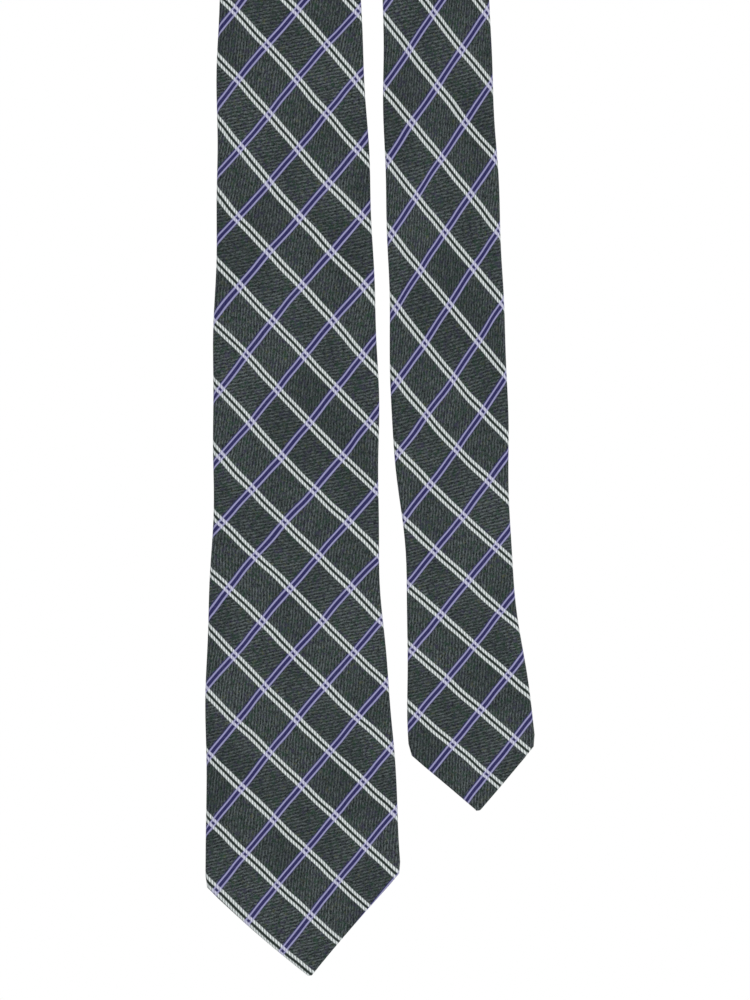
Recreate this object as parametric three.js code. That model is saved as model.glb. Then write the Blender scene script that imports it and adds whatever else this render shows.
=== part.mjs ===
// A bias-cut necktie, hanging by its neck over a round peg with its front towards -Y.
//
// Every piece is first built flat, as the tie lies on a maker's bench: x runs across the tie, y runs
// from its front face to its back, and z runs along it from the blade's tip to the tail's tip.
// hang() then lays each vertex along the hanging tie. Millimetres, +Z up, origin on top of the peg.

import * as THREE from "three";

const DEGREE = Math.PI / 180;

// How it hangs: two legs of cloth below the peg, each turning a quarter turn to face forwards.
const pegRadius = 28;
const bladeLegLength = 726;
const tailLegLength = 657;
const twistStart = 58;
const twistLength = 167;
const quarterTurn = 90 * DEGREE;
const bladeLean = { start: 557, length: 169, angle: 5.5 * DEGREE };
const tailLean = { start: 270, length: 290, angle: 4.3 * DEGREE };

// The outline of the flat tie. Both ends are right-angled points.
const bladeWidth = 82;
const neckWidth = 36;
const tailWidth = 52.5;
const neckPlace = 785; // from the blade's tip
const tipBlunt = 2.5; // half the width of the folded cloth at the very tip
const bladeWaist = { place: 180, reach: 90, depth: 1.7 }; // from its tip, where each edge draws in
const tailWaist = { place: 105, reach: 80, depth: 3.6 };

// The layers, from the front face to the back: cloth, interlining, tipping, under flap, over flap.
const clothThickness = 0.5;
const interliningThickness = 1.3;
const tippingThickness = 0.3;
const layerGap = 0.3;

// The folded edges and the flaps that close the back.
const foldChamfer = 1.2;
const innerChamfer = 0.9;
const chamferShare = 0.3; // of half the width, where the point gets narrow
const hemWidth = 7;
const hemShare = 0.55;
const flapLap = 4; // how far each flap passes the centre line
const flapBreak = 10; // from a flap's free edge to the crease line beside it
const bladeOpenTop = 118; // from the blade's tip to where its flaps close
const tailOpenTop = 84; // from the tail's tip

// The seams that join the three panels, cut on the bias.
const bladeSeam = 34; // below the peg, on the blade's leg
const tailSeam = 250; // below the peg, on the tail's leg
const seamGap = 0.45;
const seamFade = 40; // along the tie, from a slanted seam to square stations

// Inside pieces.
const edgeRoom = clothThickness + innerChamfer + 0.15;
const interliningSetback = 9; // from a tip
const tippingSetback = 8; // from a tip
const tippingHidden = 26; // under the closed flaps

// Threads.
const threadThickness = 0.5;
const barTackWidth = 10;
const barTackHeight = 2;
const reserveLength = 12;
const reserveHalfWidth = 2.1;
const reserveTopHalfWidth = 0.8;
const reserveOpening = 2; // half the width of the gap between the flaps where the loop comes out

// The keeper loop on the blade's back, which takes the tail.
const keeperPlace = 190;
const keeperHeight = 12;
const keeperInset = 4.7; // from the blade's edges to the ends of the loop's feet
const keeperFoot = 5;
const keeperSlope = 5;
const keeperRise = 6;
const keeperThickness = 1;
const keeperTackWidth = 1.2;

// The woven label, blank, above the keeper loop.
const labelPlace = 246;
const labelWidth = 56;
const labelHeight = 22;
const labelThickness = 0.4;
const labelStitchInset = 2;

// The care label: a tab that hangs from a line of stitches on the tail's back.
const careTop = 150; // from the tail's tip
const careWidth = 24;
const careLength = 28;
const careThickness = 0.3;
const careStitchGap = 0.85;

const tieThickness =
  3 * clothThickness + 4 * layerGap + interliningThickness + tippingThickness;
const bandRadius = pegRadius + tieThickness / 2;
const tieLength = bladeLegLength + Math.PI * bandRadius + tailLegLength;

const frontFace = -tieThickness / 2;
const interliningFront = frontFace + clothThickness + layerGap;
const interliningBack = interliningFront + interliningThickness;
const tippingFront = interliningBack + layerGap;
const tippingBack = tippingFront + tippingThickness;
const underFlapBack = tippingBack + layerGap + clothThickness;
const overFlapBack = underFlapBack + layerGap + clothThickness;
const onTheBack = overFlapBack + layerGap; // where a piece sewn to the back begins

const bladeSeamPlace = bladeLegLength - bladeSeam;
const tailSeamPlace = tieLength - tailLegLength + tailSeam;

// ---------------------------------------------------------------- the hanging tie

// A leg's centre line, which runs straight down, bends sideways over a stretch and runs straight on.
function leanAt(drop, lean) {
  const radius = lean.length / lean.angle;
  const bent = THREE.MathUtils.clamp(drop - lean.start, 0, lean.length);
  const straight = Math.max(drop - lean.start - lean.length, 0);
  const angle = bent / radius;
  return {
    angle,
    sideways: radius * (1 - Math.cos(angle)) + straight * Math.sin(angle),
    down: Math.min(drop, lean.start) + radius * Math.sin(angle) + straight * Math.cos(angle),
  };
}

// Where the tie's middle is on a leg, and which way is inward. side is -1 on the blade's leg, 1 on the tail's.
function legFrame(drop, side, lean) {
  const { angle, sideways, down } = leanAt(drop, lean);
  const twist = quarterTurn * THREE.MathUtils.smoothstep(drop, twistStart, twistStart + twistLength);
  const centre = new THREE.Vector3(side * bandRadius + sideways, 0, -pegRadius - down);
  const level = new THREE.Vector3(Math.cos(angle), 0, Math.sin(angle));
  const downwards = new THREE.Vector3(Math.sin(angle), 0, -Math.cos(angle));
  const inward = level.multiplyScalar(-side * Math.cos(twist)).setY(Math.sin(twist));
  const across = new THREE.Vector3().crossVectors(inward, downwards.multiplyScalar(side));
  return { centre, inward, across };
}

// The same on the peg, turned from the blade's side (0) over the top to the tail's side (half a turn).
function pegFrame(turned) {
  const inward = new THREE.Vector3(Math.cos(turned), 0, -Math.sin(turned));
  const centre = inward.clone().multiplyScalar(-bandRadius).setY(0);
  centre.z -= pegRadius;
  return { centre, inward, across: new THREE.Vector3(0, -1, 0) };
}

function frameAt(along) {
  const overPeg = along - bladeLegLength;
  const pegLength = Math.PI * bandRadius;
  if (overPeg < 0) return legFrame(-overPeg, -1, bladeLean);
  if (overPeg > pegLength) return legFrame(overPeg - pegLength, 1, tailLean);
  return pegFrame(overPeg / bandRadius);
}

// Moves a flat geometry's vertices to where they are on the hanging tie.
function hang(geometry) {
  const places = geometry.getAttribute("position");
  for (let i = 0; i < places.count; i += 1) {
    const { centre, inward, across } = frameAt(places.getZ(i));
    centre.addScaledVector(across, places.getX(i)).addScaledVector(inward, places.getY(i));
    places.setXYZ(i, centre.x, centre.y, centre.z);
  }
  geometry.computeVertexNormals();
  return geometry;
}

// ---------------------------------------------------------------- the flat tie

// How far each edge draws in at a waist, with nothing at the waist's two ends.
function drawnIn(fromTip, waist) {
  const away = Math.min(Math.abs(fromTip - waist.place) / waist.reach, 1);
  return (waist.depth * (1 + Math.cos(Math.PI * away))) / 2;
}

function halfWidthAt(along) {
  const { mapLinear } = THREE.MathUtils;
  const taper =
    along < neckPlace
      ? mapLinear(along, bladeWidth / 2, neckPlace, bladeWidth / 2, neckWidth / 2)
      : mapLinear(along, neckPlace, tieLength - tailWidth / 2, neckWidth / 2, tailWidth / 2);
  const edge = taper - drawnIn(along, bladeWaist) - drawnIn(tieLength - along, tailWaist);
  return Math.min(edge, along, tieLength - along);
}

// How far a flap reaches in from its fold: a hem at the points, past the centre line where it is closed.
function flapReachAt(along) {
  const half = halfWidthAt(along);
  const hem = Math.min(hemWidth, hemShare * half);
  const bladeClosed = THREE.MathUtils.inverseLerp(bladeWidth / 2, bladeOpenTop, along);
  const tailClosed = THREE.MathUtils.inverseLerp(tailWidth / 2, tailOpenTop, tieLength - along);
  const closed = THREE.MathUtils.clamp(Math.min(bladeClosed, tailClosed), 0, 1);
  return THREE.MathUtils.lerp(hem, half + flapLap, closed);
}

function steps(from, to, count) {
  return Array.from({ length: count }, (_, i) => from + ((to - from) * i) / count);
}

// The stations of every long piece are the same, so that pieces in each other stay parallel.
const twistTop = bladeLegLength - twistStart;
const tailTwistTop = tieLength - tailLegLength + twistStart;
const stations = [
  ...steps(tipBlunt, bladeWidth / 2, 3),
  ...steps(bladeWidth / 2, bladeOpenTop, 5),
  ...steps(bladeOpenTop, twistTop - twistLength, 12),
  ...steps(twistTop - twistLength, twistTop, 28),
  ...steps(twistTop, bladeLegLength, 6),
  ...steps(bladeLegLength, tieLength - tailLegLength, 18),
  ...steps(tieLength - tailLegLength, tailTwistTop, 4),
  ...steps(tailTwistTop, tailTwistTop + twistLength, 28),
  ...steps(tailTwistTop + twistLength, tieLength - tailLegLength + tailLean.start, 4),
  ...steps(tieLength - tailLegLength + tailLean.start, tieLength - tailOpenTop, 14),
  ...steps(tieLength - tailOpenTop, tieLength - tailWidth / 2, 4),
  ...steps(tieLength - tailWidth / 2, tieLength - tipBlunt, 3),
];

function stationsBetween(from, to) {
  const clear = 1;
  return [from, ...stations.filter((place) => place > from + clear && place < to - clear), to];
}

// The slant of a station: 1 along a bias seam, 0 where the stations are square to the tie.
function slantAt(along) {
  const distance = Math.min(Math.abs(along - bladeSeamPlace), Math.abs(along - tailSeamPlace));
  return 1 - THREE.MathUtils.smoothstep(distance, seamGap, seamFade);
}

// Puts an outline's point on its slanted station, still inside the tapering edges.
function slanted(point, along) {
  const moved = along + slantAt(along) * point.x;
  return new THREE.Vector3((point.x * halfWidthAt(moved)) / halfWidthAt(along), point.y, moved);
}

// A long piece: outlineAt(along) gives its outline at each station, counter-clockwise from the tail's side.
function band(from, to, outlineAt) {
  const places = stationsBetween(from, to);
  const outlines = places.map(outlineAt);
  const points = outlines.flatMap((outline, i) => outline.map((point) => slanted(point, places[i])));
  const around = outlines[0].length;
  const last = (places.length - 1) * around;
  const triangles = [];
  for (let start = 0; start < last; start += around) {
    for (let i = 0; i < around; i += 1) {
      const next = (i + 1) % around;
      const quad = [start + i, start + next, start + next + around, start + i + around];
      triangles.push(...splitQuad(quad, points));
    }
  }
  for (const [a, b, c] of THREE.ShapeUtils.triangulateShape(outlines[0], [])) {
    triangles.push(a, c, b);
  }
  for (const [a, b, c] of THREE.ShapeUtils.triangulateShape(outlines.at(-1), [])) {
    triangles.push(last + a, last + b, last + c);
  }
  return new THREE.BufferGeometry().setFromPoints(points).setIndex(triangles);
}

// Cuts every quad along the same diagonal, seen from the front, so that nested faces bend alike.
function splitQuad([a, b, c, d], points) {
  const rising = points[a].x < points[b].x;
  return rising ? [a, b, c, a, c, d] : [a, b, d, b, c, d];
}

function rectangle(left, right, front, back) {
  return [
    new THREE.Vector2(left, front),
    new THREE.Vector2(right, front),
    new THREE.Vector2(right, back),
    new THREE.Vector2(left, back),
  ];
}

// A block sewn on flat: its corners across, through and along the tie.
function block(left, right, front, back, from, to) {
  const size = [right - left, back - front, to - from];
  return new THREE.BoxGeometry(...size).translate((left + right) / 2, (front + back) / 2, (from + to) / 2);
}

// ---------------------------------------------------------------- pieces

// The shell cloth, folded round: one outline of cloth from the over flap's edge to the under flap's.
function shellOutline(along) {
  const half = halfWidthAt(along);
  const reach = flapReachAt(along);
  const chamfer = Math.min(foldChamfer, chamferShare * half);
  const inside = (innerChamfer / foldChamfer) * chamfer;
  const wall = half - clothThickness;
  const flapRun = Math.min(flapBreak, (reach - chamfer) / 2);
  const overEdge = reach - half;
  const underEdge = half - reach;
  const overFlapFront = overFlapBack - clothThickness;
  const underFlapFront = underFlapBack - clothThickness;
  const frontInside = frontFace + clothThickness;
  return [
    [overEdge, overFlapBack],
    [overEdge - flapRun, overFlapBack],
    [chamfer - half, overFlapBack],
    [-half, overFlapBack - chamfer],
    [-half, frontFace + chamfer],
    [chamfer - half, frontFace],
    [half - chamfer, frontFace],
    [half, frontFace + chamfer],
    [half, underFlapBack - chamfer],
    [half - chamfer, underFlapBack],
    [underEdge + flapRun, underFlapBack],
    [underEdge, underFlapBack],
    [underEdge, underFlapFront],
    [underEdge + flapRun, underFlapFront],
    [wall - inside, underFlapFront],
    [wall, underFlapFront - inside],
    [wall, frontInside + inside],
    [wall - inside, frontInside],
    [inside - wall, frontInside],
    [-wall, frontInside + inside],
    [-wall, overFlapFront - inside],
    [inside - wall, overFlapFront],
    [overEdge - flapRun, overFlapFront],
    [overEdge, overFlapFront],
  ].map(([x, y]) => new THREE.Vector2(x, y));
}

function interliningOutline(along) {
  const half = halfWidthAt(along) - edgeRoom;
  return rectangle(-half, half, interliningFront, interliningBack);
}

function tippingOutline(along) {
  const half = halfWidthAt(along) - edgeRoom;
  return rectangle(-half, half, tippingFront, tippingBack);
}

// The slip stitch runs along the over flap's free edge, on the under flap.
function slipStitchOutline() {
  const left = flapLap + layerGap;
  const front = underFlapBack + layerGap;
  return rectangle(left, left + threadThickness, front, front + threadThickness);
}

// How far below the closed flaps the gap between them is as wide as the reserve loop needs.
function reserveDrop() {
  const widening = halfWidthAt(bladeOpenTop) - hemWidth + flapLap;
  return ((flapLap + reserveOpening) / widening) * (bladeOpenTop - bladeWidth / 2);
}

// The slack loop that the slip stitch ends in, which hangs out of the closed flaps over the tipping.
function reserveLoop() {
  const depth = tippingBack + layerGap + threadThickness / 2;
  const reserveTop = bladeOpenTop - reserveDrop();
  const route = [
    [-reserveTopHalfWidth, 0],
    [-reserveHalfWidth, reserveLength / 2],
    [-reserveHalfWidth / 2, reserveLength],
    [reserveHalfWidth / 2, reserveLength],
    [reserveHalfWidth, reserveLength / 2],
    [reserveTopHalfWidth, 0],
  ].map(([x, down]) => new THREE.Vector3(x, depth, reserveTop - down));
  const section = new THREE.Shape(
    rectangle(-threadThickness / 2, threadThickness / 2, -threadThickness / 2, threadThickness / 2),
  );
  return new THREE.ExtrudeGeometry(section, {
    steps: 20,
    extrudePath: new THREE.CatmullRomCurve3(route),
  });
}

function barTack(place) {
  const half = barTackWidth / 2;
  return block(-half, half, onTheBack, onTheBack + threadThickness, place, place + barTackHeight);
}

function keeperHalfSpan() {
  return halfWidthAt(keeperPlace) - keeperInset;
}

// The keeper's strip stands off the blade's back between its two sewn feet.
function keeperLoop() {
  const end = keeperHalfSpan();
  const foot = end - keeperFoot;
  const top = foot - keeperSlope;
  const under = [
    [-end, 0],
    [-foot, 0],
    [-top, keeperRise],
    [top, keeperRise],
    [foot, 0],
    [end, 0],
  ].map(([x, rise]) => new THREE.Vector2(x, onTheBack + rise));
  const over = under.map(({ x, y }) => new THREE.Vector2(x, y + keeperThickness)).reverse();
  const section = new THREE.Shape([...under, ...over]);
  const strip = new THREE.ExtrudeGeometry(section, { depth: keeperHeight, bevelEnabled: false });
  return strip.translate(0, 0, keeperPlace - keeperHeight / 2);
}

function keeperTack(side) {
  const middle = side * (keeperHalfSpan() - keeperFoot / 2);
  const front = onTheBack + keeperThickness + layerGap;
  return block(
    middle - keeperTackWidth / 2,
    middle + keeperTackWidth / 2,
    front,
    front + threadThickness,
    keeperPlace - keeperHeight / 2 + 1,
    keeperPlace + keeperHeight / 2 - 1,
  );
}

function makerLabel() {
  const half = labelWidth / 2;
  const back = onTheBack + labelThickness;
  return block(-half, half, onTheBack, back, labelPlace - labelHeight / 2, labelPlace + labelHeight / 2);
}

function labelStitch(side) {
  const middle = side * (labelWidth / 2 - labelStitchInset);
  const front = onTheBack + labelThickness + layerGap;
  return block(
    middle - threadThickness / 2,
    middle + threadThickness / 2,
    front,
    front + threadThickness,
    labelPlace - labelHeight / 2 + 1,
    labelPlace + labelHeight / 2 - 1,
  );
}

function careLabel() {
  const top = tieLength - careTop;
  const half = careWidth / 2;
  return block(-half, half, onTheBack, onTheBack + careThickness, top, top + careLength);
}

function careStitch() {
  const bottom = tieLength - careTop - careStitchGap;
  const half = careWidth / 2 - 1;
  return block(-half, half, onTheBack, onTheBack + threadThickness, bottom - threadThickness, bottom);
}

// ---------------------------------------------------------------- the assembly

const looks = {
  silk: { color: 0x383f3f, roughness: 0.62, metalness: 0 },
  interlining: { color: 0xe6e1d3, roughness: 0.95, metalness: 0 },
  satin: { color: 0x23262b, roughness: 0.35, metalness: 0 },
  thread: { color: 0x2c3038, roughness: 0.7, metalness: 0 },
  woven: { color: 0x1f2430, roughness: 0.55, metalness: 0 },
  care: { color: 0xf0efe9, roughness: 0.5, metalness: 0 },
};

const tie = new THREE.Group();
tie.name = "necktie";

function add(name, look, flatGeometry) {
  const mesh = new THREE.Mesh(hang(flatGeometry), new THREE.MeshStandardMaterial(looks[look]));
  mesh.name = name;
  tie.add(mesh);
}

const bladeEnd = bladeSeamPlace - seamGap / 2;
const neckStart = bladeSeamPlace + seamGap / 2;
const neckEnd = tailSeamPlace - seamGap / 2;
const tailStart = tailSeamPlace + seamGap / 2;
const tailTip = tieLength - tipBlunt;

add("blade_shell", "silk", band(tipBlunt, bladeEnd, shellOutline));
add("neck_shell", "silk", band(neckStart, neckEnd, shellOutline));
add("tail_shell", "silk", band(tailStart, tailTip, shellOutline));

add("blade_interlining", "interlining", band(interliningSetback, bladeEnd, interliningOutline));
add("neck_interlining", "interlining", band(neckStart, neckEnd, interliningOutline));
add(
  "tail_interlining",
  "interlining",
  band(tailStart, tieLength - interliningSetback, interliningOutline),
);

add("blade_tipping", "satin", band(tippingSetback, bladeOpenTop + tippingHidden, tippingOutline));
add(
  "tail_tipping",
  "satin",
  band(tieLength - tailOpenTop - tippingHidden, tieLength - tippingSetback, tippingOutline),
);

add("blade_slip_stitch", "thread", band(bladeOpenTop, bladeEnd, slipStitchOutline));
add("neck_slip_stitch", "thread", band(neckStart, neckEnd, slipStitchOutline));
add("tail_slip_stitch", "thread", band(tailStart, tieLength - tailOpenTop, slipStitchOutline));
add("slip_stitch_reserve", "thread", reserveLoop());
add("blade_bar_tack", "thread", barTack(bladeOpenTop));
add("tail_bar_tack", "thread", barTack(tieLength - tailOpenTop - barTackHeight));

add("keeper_loop", "silk", keeperLoop());
add("keeper_tack_left", "thread", keeperTack(-1));
add("keeper_tack_right", "thread", keeperTack(1));

add("maker_label", "woven", makerLabel());
add("label_stitch_left", "thread", labelStitch(-1));
add("label_stitch_right", "thread", labelStitch(1));

add("care_label", "care", careLabel());
add("care_label_stitch", "thread", careStitch());

export default tie;
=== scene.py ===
"""The looks of a bias-cut necktie that hangs over a peg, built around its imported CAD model.

Every cloth piece is first built flat, as in the CAD model: x across the tie, y from its front face to
its back, and z along it from the blade's tip to the tail's tip. drape() gives the flat piece the soft
waves of real cloth, and hang() lays it along the hanging tie. Sizes are in millimetres until then.
"""

import math

import bpy
import numpy as np
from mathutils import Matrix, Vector


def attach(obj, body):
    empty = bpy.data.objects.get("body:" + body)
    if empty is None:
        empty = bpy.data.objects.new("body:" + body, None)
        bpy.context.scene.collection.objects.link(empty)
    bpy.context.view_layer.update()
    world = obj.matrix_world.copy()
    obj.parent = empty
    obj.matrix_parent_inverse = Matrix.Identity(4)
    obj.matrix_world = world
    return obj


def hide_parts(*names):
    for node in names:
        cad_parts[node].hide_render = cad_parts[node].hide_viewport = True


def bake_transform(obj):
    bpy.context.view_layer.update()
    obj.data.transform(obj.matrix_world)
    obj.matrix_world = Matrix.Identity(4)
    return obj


MM = 0.001

# How the tie hangs, as in the CAD model.
PEG_RADIUS = 28
BLADE_LEG = 726
TAIL_LEG = 657
TWIST_START = 58
TWIST_LENGTH = 167
BLADE_LEAN = {"start": 557, "length": 169, "angle": math.radians(5.5)}
TAIL_LEAN = {"start": 270, "length": 290, "angle": math.radians(4.3)}

# The outline of the flat tie. The tail's waist is a little fuller than the CAD solid's.
BLADE_WIDTH = 82
NECK_WIDTH = 36
TAIL_WIDTH = 52.5
NECK_PLACE = 785
BLADE_WAIST = {"place": 180, "reach": 90, "depth": 1.7}
TAIL_WAIST = {"place": 105, "reach": 80, "depth": 3.1}
SHOULDER_ROUND = 4.5  # how softly each edge turns into its point
BLADE_BOW = {"depth": 2.1, "from": 20, "to": 75}  # how far a leg's middle bows sideways, and where it begins
TAIL_BOW = {"depth": -1.26, "from": 145, "to": 200}
BOW_END = {"from": 270, "to": 400}
TIP_START = 0.5
TIP_THINNING = {"length": 18, "share": 0.5}
EDGE_WAVES = ((0.30, 19, 1.9), (0.22, 8.3, 3.8))  # height, length and how far the right edge's is ahead
RIPPLES = ((0.50, 131, 0.9, 0.6), (0.30, 83, -1.1, 2.1), (0.14, 37, 0.4, 0))  # height, length, slant, start
FLAT_NEAR_PEG = {"from": 0, "to": 90}
FLAT_NEAR_CARE_LABEL = {"from": 3, "to": 45}

# How finely the meshes are cut.
SHELL_SPACING = 5
SLAB_SPACING = 6
FOLD_STEPS = 9
FLAP_STEPS = 12
FRONT_STEPS = 21
SLAB_STEPS = 19
KEEPER_STEPS = 61

# The layers, from the front face to the back.
CLOTH = 0.5
INTERLINING = 1.3
TIPPING = 0.3
GAP = 0.3
THICKNESS = 3 * CLOTH + 4 * GAP + INTERLINING + TIPPING
BAND_RADIUS = PEG_RADIUS + THICKNESS / 2
PEG_LENGTH = math.pi * BAND_RADIUS
TIE_LENGTH = BLADE_LEG + PEG_LENGTH + TAIL_LEG

FRONT = -THICKNESS / 2
INTERLINING_FRONT = FRONT + CLOTH + GAP
TIPPING_FRONT = INTERLINING_FRONT + INTERLINING + GAP
TIPPING_BACK = TIPPING_FRONT + TIPPING
UNDER_FLAP_BACK = TIPPING_BACK + GAP + CLOTH
OVER_FLAP_BACK = UNDER_FLAP_BACK + GAP + CLOTH
ON_THE_BACK = OVER_FLAP_BACK + GAP

# Folds, flaps and seams.
FOLD_SHARE = 0.45  # of half the width, where the point gets narrow
HEM = 7
HEM_SHARE = 0.55
FLAP_LAP = 4
FLAP_DROOP = 0.22  # how far the over flap's free edge sinks
BLADE_OPEN_TOP = 118
TAIL_OPEN_TOP = 84
BLADE_SEAM = 34
TAIL_SEAM = 250
BLADE_SEAM_PLACE = BLADE_LEG - BLADE_SEAM
TAIL_SEAM_PLACE = TIE_LENGTH - TAIL_LEG + TAIL_SEAM
PEG_TOP_PLACE = BLADE_LEG + PEG_LENGTH / 2
SEAM_GAP = 0.06
BLADE_END = BLADE_SEAM_PLACE - SEAM_GAP / 2
NECK_START = BLADE_SEAM_PLACE + SEAM_GAP / 2
NECK_END = TAIL_SEAM_PLACE - SEAM_GAP / 2
TAIL_START = TAIL_SEAM_PLACE + SEAM_GAP / 2
SEAM_FADE = 40
SEAM_DIP = 0.3
SEAM_ROLL = 1.4
NEAR_A_SEAM = np.array([0.4, 0.9, SEAM_ROLL])  # extra stations where the cloth turns in
NEAR_A_TIP = np.array([0.4, 1.0, 1.8, 3.0])

# Inside pieces and what is sewn to the back.
EDGE_ROOM = 1.6
INTERLINING_SETBACK = 9
TIPPING_SETBACK = 8
TIPPING_HIDDEN = 26
PUCKER = 0.1  # of the lining, at its edges
THREAD = 0.5
RESERVE_DROP = 13
SLIP_STITCH = {"pitch": 8, "bite": 0.7, "lift": 0.3}  # bite: how far a stitch reaches into the over flap
BAR_TACK = {"width": 10, "height": 2}
TACK_STITCH = {"pitch": 0.42, "sink": 0.1, "crown": 0.12}  # ends pulled in, middle a little proud
KEEPER = {"place": 190, "height": 12, "end": 30, "slope_start": 20, "slope_end": 25, "rise": 6, "thick": 1}
KEEPER_SLACK = 0.5
KEEPER_TACK = {"inset": 2.5, "width": 1.6, "margin": 1}
LABEL = {"place": 246, "width": 56, "height": 22, "thick": 0.4, "crown": 0.3}
LABEL_STITCH = {"inset": 2, "pitch": 3.2, "lift": 0.15}
LABEL_BORDER = {"outer": 3.6, "inner": 4.9}  # how far in from the label's edge
CARE = {"top": 150, "width": 24, "length": 28, "thick": 0.3, "curl": 1.6}
CARE_STITCH = {"gap": 0.85, "pitch": 2.8}
STITCH_END_ROOM = 1
# Along a running stitch: the share of its length, and how high its thread stands.
STITCH_ARC = ((0.0, -0.25), (0.15, 0.12), (0.5, 0.25), (0.8, 0.12), (0.93, -0.25))

# The windowpane check, in the flat cloth before it is stretched along the tie.
CHECK = 18.67  # from one double line to the next
WHITE_HALF_SPACING = 1.15
WHITE_HALF_WIDTH = 0.6
LILAC_HALF_SPACING = 1.0
LILAC_HALF_WIDTH = 0.32
LILAC_WEAVE_PITCH = 0.62
CORD_PITCH = 1.5
TWILL_PITCH = 1.28
TWILL_ANGLE = math.radians(55)  # from the white lines
LINE_WANDER = 0.3

# How the check lies on each panel. rows: their spacing near the tip and higher up, and where it changes.
# columns: the same across. first_row: rows from the tip to the first crossing. shift, drift: where the
# middle column is. sway: how far it swings aside above the point. pull: how unevenly the columns are
# pulled in and out there. The blade's and the tail's were fitted to the lines that show from the front,
# then rounded. The neck's are guesses.
STRETCH_FADE = 60
PULL = {"from": 100, "to": 170, "place": 190, "length": 115}
NO_SWAY = {"place": 0, "reach": 1, "depth": 0}
PANELS = {
    "blade": {
        "rows": (13.77, 14.47, 233),
        "columns": (12.78, 12.61),
        "first_row": 0.865,
        "shift": 15.92,
        "drift": 0.0329,
        "sway": {"place": 284, "reach": 134, "depth": 3.77},
        "pull": 0.045,
    },
    "tail": {
        "rows": (13.57, 15.37, 151),
        "columns": (12.9, 11.23),
        "first_row": -0.858,
        "shift": 5.28,
        "drift": 0.0194,
        "sway": NO_SWAY,
        "pull": 0,
    },
    "neck": {
        "rows": (13.9, 13.9, 500),
        "columns": (12.6, 12.6),
        "first_row": 0.3,
        "shift": 4.0,
        "drift": 0,
        "sway": NO_SWAY,
        "pull": 0,
    },
}

# The weaves of the other cloths.
LINING_PITCH = 0.55
CARE_PITCH = 0.5
DAMASK_PITCH = 0.5
WOOL_ROW = 1.1
WOOL_COLUMN = 1.3

# How deep each weave's relief is, in metres.
SILK_RELIEF = 0.00012
SATIN_RELIEF = 0.00004
WOOL_RELIEF = 0.0002
THREAD_RELIEF = 0.00008
DAMASK_RELIEF = 0.00006


# ---------------------------------------------------------------- the hanging tie


def smooth(value, low, high):
    """From 0 below low to 1 above high, without a corner."""
    share = np.clip((value - low) / (high - low), 0, 1)
    return share * share * (3 - 2 * share)


def begun(value, reach):
    """How far something that comes in over a reach has come in, from 0 to 1."""
    return smooth(value, reach["from"], reach["to"])


def leg_frame(drop, side, lean):
    """A leg's centre line and directions at each drop below the peg. side is -1 for the blade's leg, 1 for
    the tail's."""
    radius = lean["length"] / lean["angle"]
    bent = np.clip(drop - lean["start"], 0, lean["length"])
    straight = np.maximum(drop - lean["start"] - lean["length"], 0)
    angle = bent / radius
    sideways = radius * (1 - np.cos(angle)) + straight * np.sin(angle)
    down = np.minimum(drop, lean["start"]) + radius * np.sin(angle) + straight * np.cos(angle)
    twist = math.pi / 2 * smooth(drop, TWIST_START, TWIST_START + TWIST_LENGTH)
    zero = np.zeros_like(drop)
    turn = -side * np.cos(twist)
    centre = np.stack([side * BAND_RADIUS + sideways, zero, -PEG_RADIUS - down], -1)
    inward = np.stack([turn * np.cos(angle), np.sin(twist), turn * np.sin(angle)], -1)
    downwards = side * np.stack([np.sin(angle), zero, -np.cos(angle)], -1)
    return centre, inward, np.cross(inward, downwards)


def peg_frame(turned):
    """The same on the peg, turned from the blade's side over its top to the tail's side."""
    zero = np.zeros_like(turned)
    inward = np.stack([np.cos(turned), zero, -np.sin(turned)], -1)
    centre = -BAND_RADIUS * inward - np.array([0, 0, PEG_RADIUS])
    return centre, inward, np.broadcast_to([0.0, -1.0, 0.0], inward.shape)


def hang(flat):
    """Takes flat points in millimetres to the hanging tie, in metres."""
    over_peg = flat[:, 2] - BLADE_LEG
    blade = leg_frame(np.maximum(-over_peg, 0), -1, BLADE_LEAN)
    tail = leg_frame(np.maximum(over_peg - PEG_LENGTH, 0), 1, TAIL_LEAN)
    peg = peg_frame(np.clip(over_peg, 0, PEG_LENGTH) / BAND_RADIUS)
    before = (over_peg < 0)[:, None]
    after = (over_peg > PEG_LENGTH)[:, None]
    centre, inward, across = (
        np.where(before, on_blade, np.where(after, on_tail, on_peg))
        for on_blade, on_tail, on_peg in zip(blade, tail, peg)
    )
    return (centre + across * flat[:, :1] + inward * flat[:, 1:2]) * MM


def drawn_in(from_tip, waist):
    """How far an edge is drawn in by a waist: its depth at its place, and nothing past its reach."""
    away = np.minimum(np.abs(from_tip - waist["place"]) / waist["reach"], 1)
    return waist["depth"] * (1 + np.cos(math.pi * away)) / 2


def soft_min(a, b, reach):
    """The smaller of the two, with a round turn where they are alike."""
    share = np.clip(0.5 + 0.5 * (b - a) / reach, 0, 1)
    return b + (a - b) * share - reach * share * (1 - share) / 2


def half_width(along):
    """Half the tie's width: it tapers to the neck, is drawn in at two waists and ends in two points."""
    to_blade = np.interp(along, [BLADE_WIDTH / 2, NECK_PLACE], [BLADE_WIDTH / 2, NECK_WIDTH / 2])
    to_tail = np.interp(along, [NECK_PLACE, TIE_LENGTH - TAIL_WIDTH / 2], [NECK_WIDTH / 2, TAIL_WIDTH / 2])
    taper = np.where(along < NECK_PLACE, to_blade, to_tail)
    edge = taper - drawn_in(along, BLADE_WAIST) - drawn_in(TIE_LENGTH - along, TAIL_WAIST)
    return soft_min(edge, np.minimum(along, TIE_LENGTH - along), SHOULDER_ROUND)


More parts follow.
